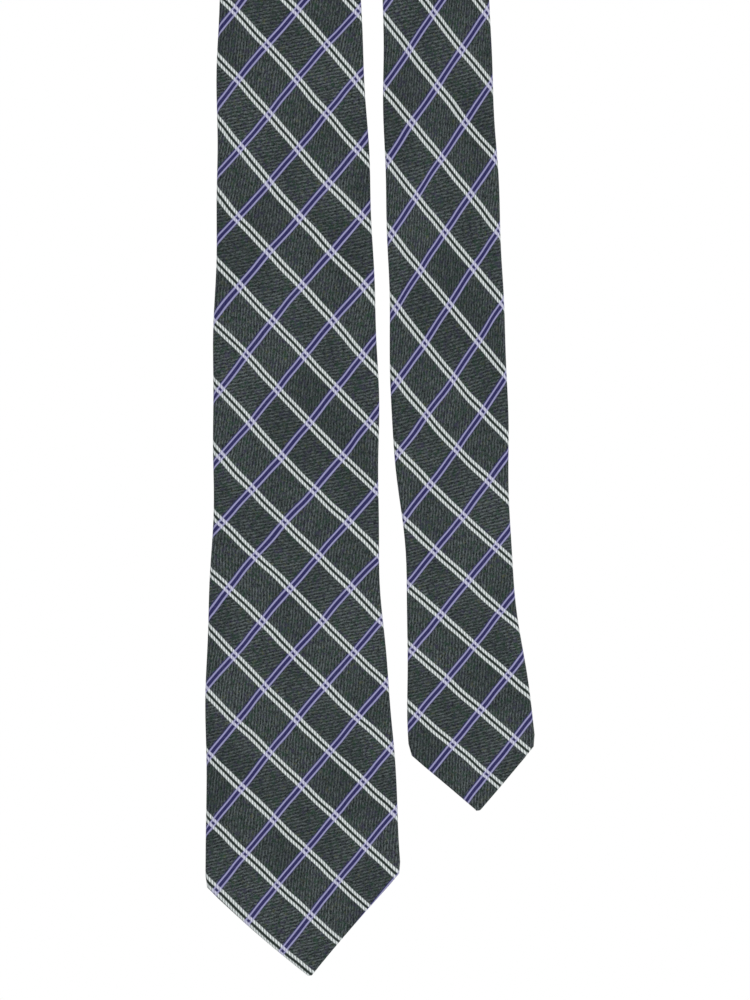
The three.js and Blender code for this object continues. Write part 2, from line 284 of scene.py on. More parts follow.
def flap_reach(along):
    """How far a flap reaches in from its fold: a hem at the points, past the centre line where it closes."""
    half = half_width(along)
    hem = np.minimum(HEM, HEM_SHARE * half)
    on_blade = (along - BLADE_WIDTH / 2) / (BLADE_OPEN_TOP - BLADE_WIDTH / 2)
    on_tail = (TIE_LENGTH - along - TAIL_WIDTH / 2) / (TAIL_OPEN_TOP - TAIL_WIDTH / 2)
    closed = np.clip(np.minimum(on_blade, on_tail), 0, 1)
    return hem + (half + FLAP_LAP - hem) * closed


def slanted(flat):
    """Moves each point to its slanted station, which runs along a bias seam where it is near one."""
    across, along = flat[:, 0], flat[:, 2]
    from_seam = np.minimum(np.abs(along - BLADE_SEAM_PLACE), np.abs(along - TAIL_SEAM_PLACE))
    moved = along + (1 - smooth(from_seam, SEAM_GAP, SEAM_FADE)) * across
    return np.stack([across * half_width(moved) / half_width(along), flat[:, 1], moved], -1)


def drape(flat):
    """Gives flat points the soft waves of cloth, the same through every layer, and thins the two tips."""
    across, through, along = flat.T
    share = across / np.maximum(half_width(along), 1)
    on_right = across > 0
    edge_wave = sum(
        height * np.sin(along / length + ahead * on_right) for height, length, ahead in EDGE_WAVES
    )
    from_tip = np.minimum(along, TIE_LENGTH - along)
    blade_bow = BLADE_BOW["depth"] * begun(from_tip, BLADE_BOW)
    tail_bow = TAIL_BOW["depth"] * begun(from_tip, TAIL_BOW)
    bow = np.where(along < PEG_TOP_PLACE, blade_bow, tail_bow) * (1 - begun(from_tip, BOW_END))
    from_peg = np.maximum(np.abs(along - PEG_TOP_PLACE) - PEG_LENGTH / 2, 0)
    from_tab = np.abs(along - TIE_LENGTH + CARE["top"])
    waving = begun(from_peg, FLAT_NEAR_PEG) * begun(from_tab, FLAT_NEAR_CARE_LABEL)
    ripple = waving * sum(
        height * np.sin(2 * math.pi * (along + slant * across) / length + start)
        for height, length, slant, start in RIPPLES
    )
    thin = 1 - TIP_THINNING["share"] * (1 - smooth(from_tip, 0, TIP_THINNING["length"]))
    return np.stack([across + share * edge_wave + bow, through * thin + ripple, along], -1)



def stretched_rows(distance, place, low, high):
    """Rows of the check from a tip, low millimetres apart below a place and high apart above it."""
    steps = np.linspace(0, TIE_LENGTH, 3000)
    pitch = low + (high - low) * smooth(steps, place - STRETCH_FADE, place + STRETCH_FADE)
    rows = np.concatenate([[0], np.cumsum(np.diff(steps) / pitch[1:])])
    return np.interp(distance, steps, rows)


def cloth_place(panel, path, along):
    """Where a point is on the flat cloth: millimetres from one white double line, and from one lilac one."""
    cut = PANELS[panel]
    low, high, place = cut["rows"]
    on_tail = panel == "tail"
    from_tip = TIE_LENGTH - along if on_tail else along
    right = -path if on_tail else path
    rows = stretched_rows(from_tip, place, low, high) - cut["first_row"]
    near, far = cut["columns"]
    column = near + (far - near) * smooth(from_tip, place - STRETCH_FADE, place + STRETCH_FADE)
    pulled = np.cos(2 * math.pi * (from_tip - PULL["place"]) / PULL["length"])
    pull = cut["pull"] * pulled * begun(from_tip, PULL)
    middle = cut["shift"] - cut["drift"] * from_tip - drawn_in(from_tip, cut["sway"])
    columns = (right - middle) / (column * (1 + pull))
    white = (columns + rows) / 2 * CHECK
    lilac = (columns - rows) / 2 * CHECK
    return np.stack([white, lilac, np.zeros_like(white)], -1)


# ---------------------------------------------------------------- meshes


def make_piece(name, points, faces, material, cloth=None):
    """A mesh in the scene. cloth gives each point's place on its own flat cloth, in millimetres."""
    mesh = bpy.data.meshes.new(name)
    mesh.from_pydata(points.tolist(), [], faces)
    mesh.polygons.foreach_set("use_smooth", [True] * len(mesh.polygons))
    mesh.set_sharp_from_angle(angle=math.radians(55))
    if cloth is not None:
        attribute = mesh.attributes.new("cloth", "FLOAT_VECTOR", "POINT")
        attribute.data.foreach_set("vector", cloth.astype(np.float32).ravel())
    mesh.materials.append(material)
    piece = bpy.data.objects.new(name, mesh)
    bpy.context.scene.collection.objects.link(piece)
    return piece


def stations(start, end, spacing):
    """Even places from start to end, about so far apart."""
    return np.linspace(start, end, max(int(round((end - start) / spacing)), 2) + 1)


def ring_faces(count, around):
    """Quads between rings of points, each the next one's neighbour."""
    faces = []
    for ring in range(count - 1):
        for i in range(around):
            a = ring * around + i
            b = ring * around + (i + 1) % around
            faces.append((a, b, b + around, a + around))
    return faces


def end_faces(count, around):
    """Closes the first and the last of so many rings, each a thin strip's outline that runs out and back."""
    last = (count - 1) * around
    faces = []
    for i in range(around // 2 - 1):
        j = around - 1 - i
        faces.append((i, j, j - 1, i + 1))
        faces.append((last + i, last + i + 1, last + j - 1, last + j))
    return faces


def folded_path(half, reach):
    """The middle line of the folded cloth at one station: across, through, and distance on the cloth."""
    front = FRONT + CLOTH / 2
    over = OVER_FLAP_BACK - CLOTH / 2
    under = UNDER_FLAP_BACK - CLOTH / 2
    left = min((over - front) / 2, FOLD_SHARE * half)
    right = min((under - front) / 2, FOLD_SHARE * half)
    turn = np.linspace(0, math.pi, FOLD_STEPS)
    over_flap = np.linspace(reach - half, left - half, FLAP_STEPS)[:-1]
    droop = FLAP_DROOP * (1 - smooth(reach - half - over_flap, 0, 5))
    left_across = left - half - left * np.sin(turn)
    left_through = (over + front) / 2 + (over - front) / 2 * np.cos(turn)
    flat_front = np.linspace(left - half, half - right, FRONT_STEPS)[1:-1]
    right_across = half - right + right * np.sin(turn)
    right_through = (under + front) / 2 - (under - front) / 2 * np.cos(turn)
    under_flap = np.linspace(half - right, half - reach, FLAP_STEPS)[1:]
    across = np.concatenate([over_flap, left_across, flat_front, right_across, under_flap])
    front_through = np.full_like(flat_front, front)
    under_through = np.full_like(under_flap, under)
    through = np.concatenate([over - droop, left_through, front_through, right_through, under_through])
    path = np.concatenate([[0], np.cumsum(np.hypot(np.diff(across), np.diff(through)))])
    front_start = path[len(over_flap) + len(turn) - 1]
    return across, through, path - front_start - (half - left)


def shell(name, panel, start, end, material, seams):
    """The folded cloth of one panel, as a closed mesh with its two faces and its turned-in seam edges."""
    places = stations(start, end, SHELL_SPACING)
    for tip, sign in ((start, 1), (end, -1)):
        if tip in seams:
            places = np.concatenate([places, tip + sign * NEAR_A_SEAM])
        elif tip != PEG_TOP_PLACE:
            places = np.concatenate([places, tip + sign * NEAR_A_TIP])
    places = np.unique(places)
    rows, cloths = [], []
    for along in places:
        half = float(half_width(along))
        across, through, path = folded_path(half, float(flap_reach(along)))
        slope_x, slope_y = np.gradient(across), np.gradient(through)
        length = np.hypot(slope_x, slope_y)
        out_x, out_y = slope_y / length, -slope_x / length
        from_seam = min([abs(along - seam) for seam in seams], default=SEAM_ROLL)
        outside = CLOTH / 2 - SEAM_DIP * float(1 - smooth(from_seam, 0, SEAM_ROLL))
        level = np.full_like(across, along)
        outer = np.stack([across + out_x * outside, through + out_y * outside, level], -1)
        inner = np.stack([across - out_x * CLOTH / 2, through - out_y * CLOTH / 2, level], -1)
        rows.append(np.concatenate([outer, inner[::-1]]))
        cloths.append(np.concatenate([path, path[::-1]]))
    around = len(rows[0])
    flat = slanted(np.concatenate(rows))
    faces = ring_faces(len(places), around) + end_faces(len(places), around)
    cloth = cloth_place(panel, np.concatenate(cloths), flat[:, 2])
    piece = make_piece(name, hang(drape(flat)), faces, material, cloth)
    return piece


def slab(name, start, end, on, room, front, back, material, slot, pucker=0.0):
    """A flat layer inside the tie, on another, with rounded edges and a little unevenness."""
    places = stations(start, end, SLAB_SPACING)
    share = np.linspace(-1, 1, SLAB_STEPS)
    round_off = np.sqrt(np.maximum(1 - share**8, 0))
    middle = (front + back) / 2
    lift = (back - front) / 2 * (0.35 + 0.65 * round_off)
    rows = []
    for along in places:
        half = float(half_width(along)) - room
        puckers = pucker * np.sin(along / 2.7 + 3 * share) * np.abs(share) ** 3
        top = np.stack([share * half, middle + lift + puckers, np.full_like(share, along)], -1)
        bottom = np.stack([share * half, middle - lift + puckers, np.full_like(share, along)], -1)
        rows.append(np.concatenate([bottom, top[::-1]]))
    around = len(rows[0])
    flat = slanted(np.concatenate(rows))
    faces = ring_faces(len(places), around) + end_faces(len(places), around)
    cloth = flat[:, [0, 2, 1]]
    piece = make_piece(name, hang(drape(flat)), faces, material, cloth)
    return piece


def tube(line, radius, sides=7):
    """Points and faces of a thread along a line of flat points."""
    line = np.asarray(line, float)
    ahead = np.gradient(line, axis=0)
    ahead /= np.linalg.norm(ahead, axis=1)[:, None]
    side = np.cross(ahead[0], [0.3, 1.0, 0.2])
    rings = []
    for point, direction in zip(line, ahead):
        side = side - direction * side.dot(direction)
        side /= np.linalg.norm(side)
        up = np.cross(direction, side)
        turn = np.arange(sides) * 2 * math.pi / sides
        rings.append(point + radius * (np.cos(turn)[:, None] * side + np.sin(turn)[:, None] * up))
    faces = ring_faces(len(line), sides)
    last = (len(line) - 1) * sides
    faces.append(tuple(range(sides))[::-1])
    faces.append(tuple(range(last, last + sides)))
    return np.concatenate(rings), faces


def curve_through(points, per_span):
    """A Catmull-Rom curve through points, with so many steps in each span."""
    points = np.asarray(points, float)
    padded = np.concatenate([2 * points[:1] - points[1:2], points, 2 * points[-1:] - points[-2:-1]])
    curve = []
    for p0, p1, p2, p3 in zip(padded, padded[1:], padded[2:], padded[3:]):
        for t in np.arange(per_span) / per_span:
            curve.append(
                0.5 * (2 * p1 + (p2 - p0) * t + (2 * p0 - 5 * p1 + 4 * p2 - p3) * t**2
                       + (3 * p1 - p0 - 3 * p2 + p3) * t**3)
            )
    curve.append(points[-1])
    return np.array(curve)


def thread(name, line, material, slant=False):
    """A sewing thread along a line of flat points."""
    points, faces = tube(line, THREAD / 2)
    if slant:
        points = slanted(points)
    return make_piece(name, hang(drape(points)), faces, material)


# ---------------------------------------------------------------- sewn pieces


def slip_stitch(name, start, end, material):
    """Small stitches along the over flap's free edge, each catching the edge and then running on under it."""
    run_x = FLAP_LAP + GAP + THREAD / 2
    run_y = UNDER_FLAP_BACK + GAP + THREAD / 2
    hop_x = FLAP_LAP - SLIP_STITCH["bite"]
    hop_y = OVER_FLAP_BACK + GAP / 2 + THREAD / 2
    lifted_y = run_y + SLIP_STITCH["lift"]
    count = max(int((end - start) / SLIP_STITCH["pitch"]), 1)
    pitch = (end - start) / count
    points = [(run_x, run_y, start)]
    for i in range(count):
        base = start + i * pitch
        points += [
            (run_x, run_y, base + 0.45 * pitch),
            (run_x, lifted_y, base + 0.6 * pitch),
            (hop_x, hop_y, base + 0.72 * pitch),
            (run_x, lifted_y, base + 0.84 * pitch),
        ]
    points.append((run_x, run_y, end))
    return thread(name, curve_through(points, 2), material, slant=True)


def reserve_loop(material):
    """The slack loop that the slip stitch ends in, lying on the lining below the flaps' meeting point."""
    top = BLADE_OPEN_TOP - RESERVE_DROP
    depth = TIPPING_BACK + GAP + THREAD / 2
    route = [(-0.8, 0), (-2.1, 6), (-1.05, 12), (1.05, 12), (2.1, 6), (0.8, 0)]
    line = curve_through([(x, depth, top - down) for x, down in route], 8)
    return thread("reserve_thread", line, material)


def zigzag_tack(name, middle, width, bottom, height, level, material):
    """Close stitches side by side, laid over and over the same place."""
    count = max(int(height / TACK_STITCH["pitch"]), 2)
    reach = width / 2 - THREAD / 2
    end_level = level + THREAD / 2 - TACK_STITCH["sink"]
    middle_level = level + THREAD / 2 + TACK_STITCH["crown"]
    points = []
    for i in range(count):
        along = bottom + THREAD / 2 + i * (height - THREAD) / (count - 1)
        side = -1 if i % 2 == 0 else 1
        points.append((middle + side * reach, end_level, along))
        points.append((middle, middle_level, along))
        points.append((middle - side * reach, end_level, along))
    return thread(name, curve_through(points, 4), material)


def running_stitch(name, start, end, level, pitch, material):
    """A line of stitches on a surface, each standing a little proud and dipping in at its ends."""
    start, end = np.array(start, float), np.array(end, float)
    length = np.linalg.norm(end - start)
    count = max(int(round(length / pitch)), 2)
    points = []
    for i in range(count):
        for share, height in STITCH_ARC:
            x, along = start + (end - start) * (i + share) / count
            points.append((x, level + height, along))
    points.append((end[0], level + STITCH_ARC[0][1], end[1]))
    return thread(name, curve_through(points, 3), material)


def flat_patch(name, corners, level, thick, material, curl=0.0, crown=0.0):
    """A small woven label: left, right, from, to on the tie, with soft edges and a slight curl at its end."""
    left, right, start, end = corners
    xs = np.linspace(left, right, 25)
    zs = np.linspace(start, end, 17)
    share_x = np.linspace(-1, 1, len(xs))
    layers = []
    for side in (-1, 1):
        for i, along in enumerate(zs):
            share_z = 2 * i / (len(zs) - 1) - 1
            edge = np.clip((1 - np.maximum(np.abs(share_x), abs(share_z))) * 12, 0.25, 1)
            free = (i / (len(zs) - 1)) ** 2
            lift = curl * free + crown * (1 - share_x**2) * (1 - share_z**2)
            y = level + thick / 2 + side * thick / 2 * edge + lift
            layers.append(np.stack([xs, y, np.full_like(xs, along)], -1))
    flat = np.concatenate(layers)
    columns, rows = len(xs), len(zs)
    back = columns * rows
    faces = []
    for j in range(rows - 1):
        for i in range(columns - 1):
            a = j * columns + i
            faces.append((a, a + 1, a + 1 + columns, a + columns))
            faces.append((back + a, back + a + columns, back + a + 1 + columns, back + a + 1))
    rim = list(range(columns))
    rim += [j * columns + columns - 1 for j in range(1, rows)]
    rim += [(rows - 1) * columns + i for i in range(columns - 2, -1, -1)]
    rim += [j * columns for j in range(rows - 2, 0, -1)]
    for a, b in zip(rim, rim[1:] + rim[:1]):
        faces.append((a, a + back, b + back, b))
    from_middle_x = flat[:, 0] - (left + right) / 2
    from_middle_z = flat[:, 2] - (start + end) / 2
    cloth = np.stack([from_middle_x, from_middle_z, np.zeros(len(flat))], -1)
    piece = make_piece(name, hang(drape(flat)), faces, material, cloth)
    return piece


def keeper_loop(material):
    """A strip of the shell cloth that stands off the blade's back between its two sewn feet."""
    across = np.linspace(-KEEPER["end"], KEEPER["end"], KEEPER_STEPS)
    rise = KEEPER["rise"] * (1 - smooth(np.abs(across), KEEPER["slope_start"] - 1, KEEPER["slope_end"] + 1))
    rise += KEEPER_SLACK * (1 - (across / KEEPER["end"]) ** 2)
    middle = ON_THE_BACK + KEEPER["thick"] / 2 + rise
    slope = np.gradient(middle, across)
    length = np.hypot(1, slope)
    out_x, out_y = -slope / length, 1 / length
    path = np.concatenate([[0], np.cumsum(np.hypot(np.diff(across), np.diff(middle)))])
    turn = np.linspace(0, 2 * math.pi, 24, endpoint=False)
    half_height, half_thick = KEEPER["height"] / 2, KEEPER["thick"] / 2
    section_z = half_height * np.sign(np.cos(turn)) * np.abs(np.cos(turn)) ** 0.5
    section_y = half_thick * np.sign(np.sin(turn)) * np.abs(np.sin(turn)) ** 0.35
    rings, cloths = [], []
    for i, x in enumerate(across):
        along = KEEPER["place"] + section_z
        rings.append(np.stack([x + out_x[i] * section_y, middle[i] + out_y[i] * section_y, along], -1))
        cloths.append(cloth_place("neck", np.full_like(turn, path[i]), along))
    around = len(turn)
    faces = ring_faces(len(across), around)
    last = (len(across) - 1) * around
    faces.append(tuple(range(around))[::-1])
    faces.append(tuple(range(last, last + around)))
    points = hang(drape(np.concatenate(rings)))
    piece = make_piece("keeper_cloth", points, faces, material, np.concatenate(cloths))
    return piece


# ---------------------------------------------------------------- materials


def linear(red, green, blue):
    """A colour given as it looks on a screen, 0 to 255, as a linear one."""

    def channel(value):
        value /= 255
        return value / 12.92 if value <= 0.04045 else ((value + 0.055) / 1.055) ** 2.4

    return (channel(red), channel(green), channel(blue), 1.0)


class Graph:
    """A material's nodes, written as short expressions."""

    def __init__(self, name):
        self.material = bpy.data.materials.new(name)
        self.material.use_nodes = True
        self.tree = self.material.node_tree
        self.tree.nodes.clear()
        self.shader = self.tree.nodes.new("ShaderNodeBsdfPrincipled")
        output = self.tree.nodes.new("ShaderNodeOutputMaterial")
        self.tree.links.new(self.shader.outputs["BSDF"], output.inputs["Surface"])

    def feed(self, value, socket):
        if isinstance(value, bpy.types.NodeSocket):
            self.tree.links.new(value, socket)
        else:
            socket.default_value = value

    def math(self, operation, *values):
        node = self.tree.nodes.new("ShaderNodeMath")
        node.operation = operation
        for value, socket in zip(values, node.inputs):
            self.feed(value, socket)
        return node.outputs[0]

    def place(self, name):
        node = self.tree.nodes.new("ShaderNodeAttribute")
        node.attribute_name = name
        split = self.tree.nodes.new("ShaderNodeSeparateXYZ")
        self.tree.links.new(node.outputs["Vector"], split.inputs[0])
        return split.outputs[0], split.outputs[1]

    def object_place(self):
        return self.tree.nodes.new("ShaderNodeTexCoord").outputs["Object"]

    def vector(self, x, y, z=0.0):
        node = self.tree.nodes.new("ShaderNodeCombineXYZ")
        for value, socket in zip((x, y, z), node.inputs):
            self.feed(value, socket)
        return node.outputs[0]

    def noise(self, vector, scale, detail=2.0, roughness=0.5):
        node = self.tree.nodes.new("ShaderNodeTexNoise")
        self.feed(vector, node.inputs["Vector"])
        node.inputs["Scale"].default_value = scale
        node.inputs["Detail"].default_value = detail
        node.inputs["Roughness"].default_value = roughness
        return node.outputs[0]

    def ramp(self, value, low, high, to_low=0.0, to_high=1.0):
        node = self.tree.nodes.new("ShaderNodeMapRange")
        node.interpolation_type = "SMOOTHSTEP"
        for given, socket in zip((value, low, high, to_low, to_high), node.inputs):
            self.feed(given, socket)
        return node.outputs[0]

    def mix(self, share, first, second):
        node = self.tree.nodes.new("ShaderNodeMix")
        node.data_type = "RGBA"
        self.feed(share, node.inputs["Factor"])
        first_colour, second_colour = [socket for socket in node.inputs if socket.type == "RGBA"]
        self.feed(first, first_colour)
        self.feed(second, second_colour)
        return next(socket for socket in node.outputs if socket.type == "RGBA")

    def wave(self, phase):
        """From 0 to 1 and back in each whole step of phase."""
        turned = self.math("MULTIPLY", phase, 2 * math.pi)
        return self.math("MULTIPLY_ADD", self.math("SINE", turned), 0.5, 0.5)

    def bump(self, height, depth):
        node = self.tree.nodes.new("ShaderNodeBump")
        node.inputs["Strength"].default_value = 1.0
        node.inputs["Distance"].default_value = depth
        self.feed(height, node.inputs["Height"])
        self.tree.links.new(node.outputs["Normal"], self.shader.inputs["Normal"])

    def finish(self, colour, roughness, **constants):
        self.feed(colour, self.shader.inputs["Base Color"])
        self.feed(roughness, self.shader.inputs["Roughness"])
        for name, value in constants.items():
            self.shader.inputs[name.replace("_", " ")].default_value = value
        return self.material


def wandering(g, place, other, layer):
    """A place on the cloth whose threads wander a little to either side."""
    wander = g.noise(g.vector(place, other, layer), 0.055, 1.0)
    return g.math("ADD", place, g.ramp(wander, 0.2, 0.8, -LINE_WANDER, LINE_WANDER))


def flecked(g, ground, flecks, start, full, share, colour):
    """The ground with another colour in it, in a given share where the flecks are fullest."""
    return g.mix(g.ramp(flecks, start, full, 0.0, share), ground, colour)


def heathered_twill(g, w, l):
    """Fine diagonal ribs, which turn the other way in each strip between white lines. Gives the colour, the
    ribs, the streaks along them and the lightness."""
    strip = g.math("FLOOR", g.math("DIVIDE", w, CHECK))
    odd = g.math("FLOORED_MODULO", strip, 2.0)
    lean = g.math("MULTIPLY_ADD", odd, 2.0, -1.0)
    straight = g.math("MULTIPLY", l, math.sin(TWILL_ANGLE))
    sideways = g.math("MULTIPLY", g.math("MULTIPLY", w, math.cos(TWILL_ANGLE)), lean)
    rib = g.math("SUBTRACT", straight, sideways)
    straight = g.math("MULTIPLY", l, math.cos(TWILL_ANGLE))
    sideways = g.math("MULTIPLY", g.math("MULTIPLY", w, math.sin(TWILL_ANGLE)), lean)
    run = g.math("ADD", straight, sideways)

    unevenness = g.ramp(g.noise(g.vector(w, l, 3.0), 0.9, 2.0), 0.2, 0.8, -0.2, 0.2)
    ribs = g.wave(g.math("ADD", g.math("DIVIDE", rib, TWILL_PITCH), unevenness))
    along_rib = g.vector(g.math("MULTIPLY", rib, 1.9), g.math("MULTIPLY", run, 0.55), strip)
    streaks = g.noise(along_rib, 1.0, 2.0, 0.6)
    strength = g.ramp(streaks, 0.36, 0.62, 0.1, 1.15)
    grains = g.ramp(g.noise(g.vector(w, l, 7.0), 1.6, 2.0, 0.6), 0.34, 0.68, 0.0, 0.38)
    lightness = g.math("ADD", g.math("MULTIPLY", g.math("MULTIPLY", ribs, strength), 0.72), grains)

    colour = g.mix(lightness, linear(8, 13, 14), linear(91, 99, 100))
    green = g.noise(g.vector(w, l, 5.0), 0.5, 3.0, 0.7)
    colour = flecked(g, colour, green, 0.5, 0.66, 0.65, linear(32, 60, 44))
    purple = g.noise(g.vector(l, w, 15.0), 0.5, 3.0, 0.7)
    colour = flecked(g, colour, purple, 0.52, 0.68, 0.6, linear(52, 46, 72))
    olive = g.noise(g.vector(w, l, 25.0), 0.4, 3.0, 0.75)
    colour = flecked(g, colour, olive, 0.56, 0.72, 0.5, linear(88, 92, 60))
    shadow = g.noise(g.vector(w, l, 35.0), 0.03, 2.0)
    colour = flecked(g, colour, shadow, 0.4, 0.65, 0.3, linear(24, 32, 32))
    return colour, ribs, streaks, lightness


def with_lilac_lines(g, w, l, from_lilac, ground):
    """Two fine lilac lines with indigo between and around them, more of it on one side. Gives the colour and
    where the lines are."""
    fray = g.ramp(g.noise(g.vector(w, l, 21.0), 1.6, 2.0), 0.2, 0.8, -0.35, 0.35)
    ragged = g.math("ADD", from_lilac, fray)
    halo = g.math("MULTIPLY", g.ramp(ragged, -2.1, -1.4), g.ramp(ragged, 1.7, 1.1))
    weave = g.wave(g.math("DIVIDE", g.math("ADD", w, from_lilac), LILAC_WEAVE_PITCH))
    indigo = g.mix(weave, linear(26, 24, 62), linear(52, 47, 108))
    colour = g.mix(g.math("MULTIPLY", halo, 0.85), ground, indigo)
    from_line = g.math("ABSOLUTE", g.math("SUBTRACT", g.math("ABSOLUTE", from_lilac), LILAC_HALF_SPACING))
    line = g.ramp(from_line, LILAC_HALF_WIDTH + 0.16, LILAC_HALF_WIDTH - 0.14)
    lilac = g.mix(weave, linear(96, 96, 138), linear(176, 174, 210))
    return g.mix(line, colour, lilac), line


def with_white_lines(g, w, l, from_white, from_lilac, ground):
    """Two twisted white cords with a dark green gap between them, tinted where they cross lilac lines. Gives
    the colour, where the cords are and their twist."""
    off_white = g.math("ABSOLUTE", from_white)
    off_lilac = g.math("ABSOLUTE", from_lilac)
    gap = g.math("MULTIPLY", g.ramp(off_white, WHITE_HALF_SPACING, WHITE_HALF_SPACING - 0.7), 0.7)
    gap = g.math("MULTIPLY", gap, g.ramp(off_lilac, 1.2, 1.7))
    colour = g.mix(gap, ground, linear(24, 34, 28))
    from_line = g.math("ABSOLUTE", g.math("SUBTRACT", off_white, WHITE_HALF_SPACING))
    line = g.ramp(from_line, WHITE_HALF_WIDTH + 0.22, WHITE_HALF_WIDTH - 0.22)
    twist = g.wave(g.math("DIVIDE", g.math("ADD", l, from_white), CORD_PITCH))
    fibre = g.ramp(g.noise(g.vector(w, l, 31.0), 2.0, 2.0, 0.6), 0.3, 0.7, 0.0, 0.25)
    strand = g.math("ADD", g.math("MULTIPLY", twist, 0.75), fibre)
    white = g.mix(strand, linear(104, 113, 111), linear(234, 240, 240))
    crossed = g.math("MULTIPLY", g.ramp(off_lilac, 1.9, 1.2), 0.5)
    white = g.mix(crossed, white, linear(172, 166, 208))
    return g.mix(line, colour, white), line, twist


def silk():
    """Heathered herringbone twill with white twisted double lines one way and lilac ones the other."""
    g = Graph("windowpane_silk")
    w, l = g.place("cloth")
    w = wandering(g, w, l, 0.0)
    l = wandering(g, l, w, 9.0)
    from_white = g.math("WRAP", w, CHECK / 2, -CHECK / 2)
    from_lilac = g.math("WRAP", l, CHECK / 2, -CHECK / 2)
    colour, ribs, streaks, lightness = heathered_twill(g, w, l)
    colour, lilac_line = with_lilac_lines(g, w, l, from_lilac, colour)
    colour, white_line, twist = with_white_lines(g, w, l, from_white, from_lilac, colour)

    cords = g.math("MULTIPLY", white_line, g.math("MULTIPLY_ADD", twist, 0.5, 0.8))
    lines = g.math("ADD", cords, g.math("MULTIPLY", lilac_line, 0.4))
    height = g.math("ADD", g.math("MULTIPLY", ribs, 0.5), lines)
    height = g.math("ADD", height, g.math("MULTIPLY", streaks, 0.4))
    g.bump(height, SILK_RELIEF)
    roughness = g.ramp(lightness, 0.2, 0.8, 0.72, 0.52)
    return g.finish(colour, roughness, Specular_IOR_Level=0.06)


def satin(name, dark, pale, pitch, roughness):
    """A smooth lining with a fine slanted weave."""
    g = Graph(name)
    across, along = g.place("cloth")
    slant = g.math("DIVIDE", g.math("ADD", across, g.math("MULTIPLY", along, 0.4)), pitch)
    ribs = g.wave(slant)
    clouds = g.noise(g.vector(across, along), 0.12, 3.0)
    threads = g.noise(g.vector(g.math("MULTIPLY", across, 5.0), g.math("MULTIPLY", along, 0.5)), 1.0, 2.0)
    share = g.math("ADD", g.math("MULTIPLY", ribs, 0.3), g.ramp(threads, 0.3, 0.7, 0.0, 0.7))
    colour = g.mix(share, dark, pale)
    colour = g.mix(g.ramp(clouds, 0.4, 0.7, 0.0, 0.25), colour, pale)
    g.bump(g.math("ADD", ribs, threads), SATIN_RELIEF)
    roughness = g.ramp(clouds, 0.3, 0.7, roughness, roughness + 0.12)
    return g.finish(colour, roughness, Anisotropic=0.4, Specular_IOR_Level=0.25)


def wool():
    """Brushed wool: a loose weave under a pale fuzz."""
    g = Graph("brushed_wool")
    across, along = g.place("cloth")
    rows = g.wave(g.math("DIVIDE", along, WOOL_ROW))
    columns = g.wave(g.math("DIVIDE", across, WOOL_COLUMN))
    fuzz = g.noise(g.vector(across, along, 2.0), 1.2, 5.0, 0.7)
    weave = g.math("MULTIPLY", g.math("ADD", rows, columns), 0.5)
    share = g.math("ADD", g.math("MULTIPLY", weave, 0.4), g.ramp(fuzz, 0.3, 0.7, 0.0, 0.6))
    colour = g.mix(share, linear(196, 188, 170), linear(240, 235, 222))
    g.bump(g.math("ADD", weave, fuzz), WOOL_RELIEF)
    return g.finish(colour, g.ramp(fuzz, 0.3, 0.7, 0.85, 0.98), Sheen_Weight=0.3)


def sewing_thread():
    """Dark twisted thread."""
    g = Graph("twisted_thread")
    where = g.object_place()
    fibre = g.noise(where, 2600.0, 3.0, 0.6)
    twist = g.tree.nodes.new("ShaderNodeTexWave")
    twist.bands_direction = "DIAGONAL"
    twist.inputs["Scale"].default_value = 700.0
    twist.inputs["Distortion"].default_value = 2.0
    g.tree.links.new(where, twist.inputs["Vector"])
    share = g.math("ADD", g.math("MULTIPLY", twist.outputs[1], 0.6), g.ramp(fibre, 0.3, 0.7, 0.0, 0.4))
    colour = g.mix(share, linear(30, 34, 44), linear(86, 94, 108))
    g.bump(share, THREAD_RELIEF)
    return g.finish(colour, g.ramp(fibre, 0.3, 0.7, 0.5, 0.7), Sheen_Weight=0.1)


def damask(half_width_mm, half_height_mm):
    """A blank woven label: navy satin with a narrow cream and lilac border."""
    g = Graph("label_damask")
    across, along = g.place("cloth")
    side = g.math("SUBTRACT", half_width_mm, g.math("ABSOLUTE", across))
    end = g.math("SUBTRACT", half_height_mm, g.math("ABSOLUTE", along))
    inset = g.math("MINIMUM", side, end)
    rows = g.wave(g.math("DIVIDE", along, DAMASK_PITCH))
    columns = g.wave(g.math("DIVIDE", across, DAMASK_PITCH))
    weave = g.math("MULTIPLY", rows, columns)
    clouds = g.noise(g.vector(across, along), 0.4, 3.0)
    colour = g.mix(weave, linear(26, 29, 52), linear(48, 52, 84))
    colour = g.mix(g.ramp(clouds, 0.4, 0.7, 0.0, 0.3), colour, linear(58, 60, 92))
    outer = g.ramp(g.math("ABSOLUTE", g.math("SUBTRACT", inset, LABEL_BORDER["outer"])), 0.5, 0.3)
    inner = g.ramp(g.math("ABSOLUTE", g.math("SUBTRACT", inset, LABEL_BORDER["inner"])), 0.35, 0.2)
    cream = g.mix(weave, linear(176, 178, 166), linear(226, 226, 212))
    lilac = g.mix(weave, linear(120, 114, 172), linear(168, 162, 212))
    colour = g.mix(outer, colour, cream)
    colour = g.mix(inner, colour, lilac)
    g.bump(g.math("ADD", weave, g.math("ADD", outer, inner)), DAMASK_RELIEF)
    roughness = g.ramp(clouds, 0.3, 0.7, 0.42, 0.58)
    return g.finish(colour, roughness, Sheen_Weight=0.1, Specular_IOR_Level=0.25)


def floor_material():
    """A plain pale floor."""
    g = Graph("pale_floor")
    specks = g.noise(g.object_place(), 3.0, 3.0)
    return g.finish(g.mix(specks, (0.80, 0.80, 0.80, 1), (0.86, 0.86, 0.86, 1)), 0.7)


# ---------------------------------------------------------------- the stage


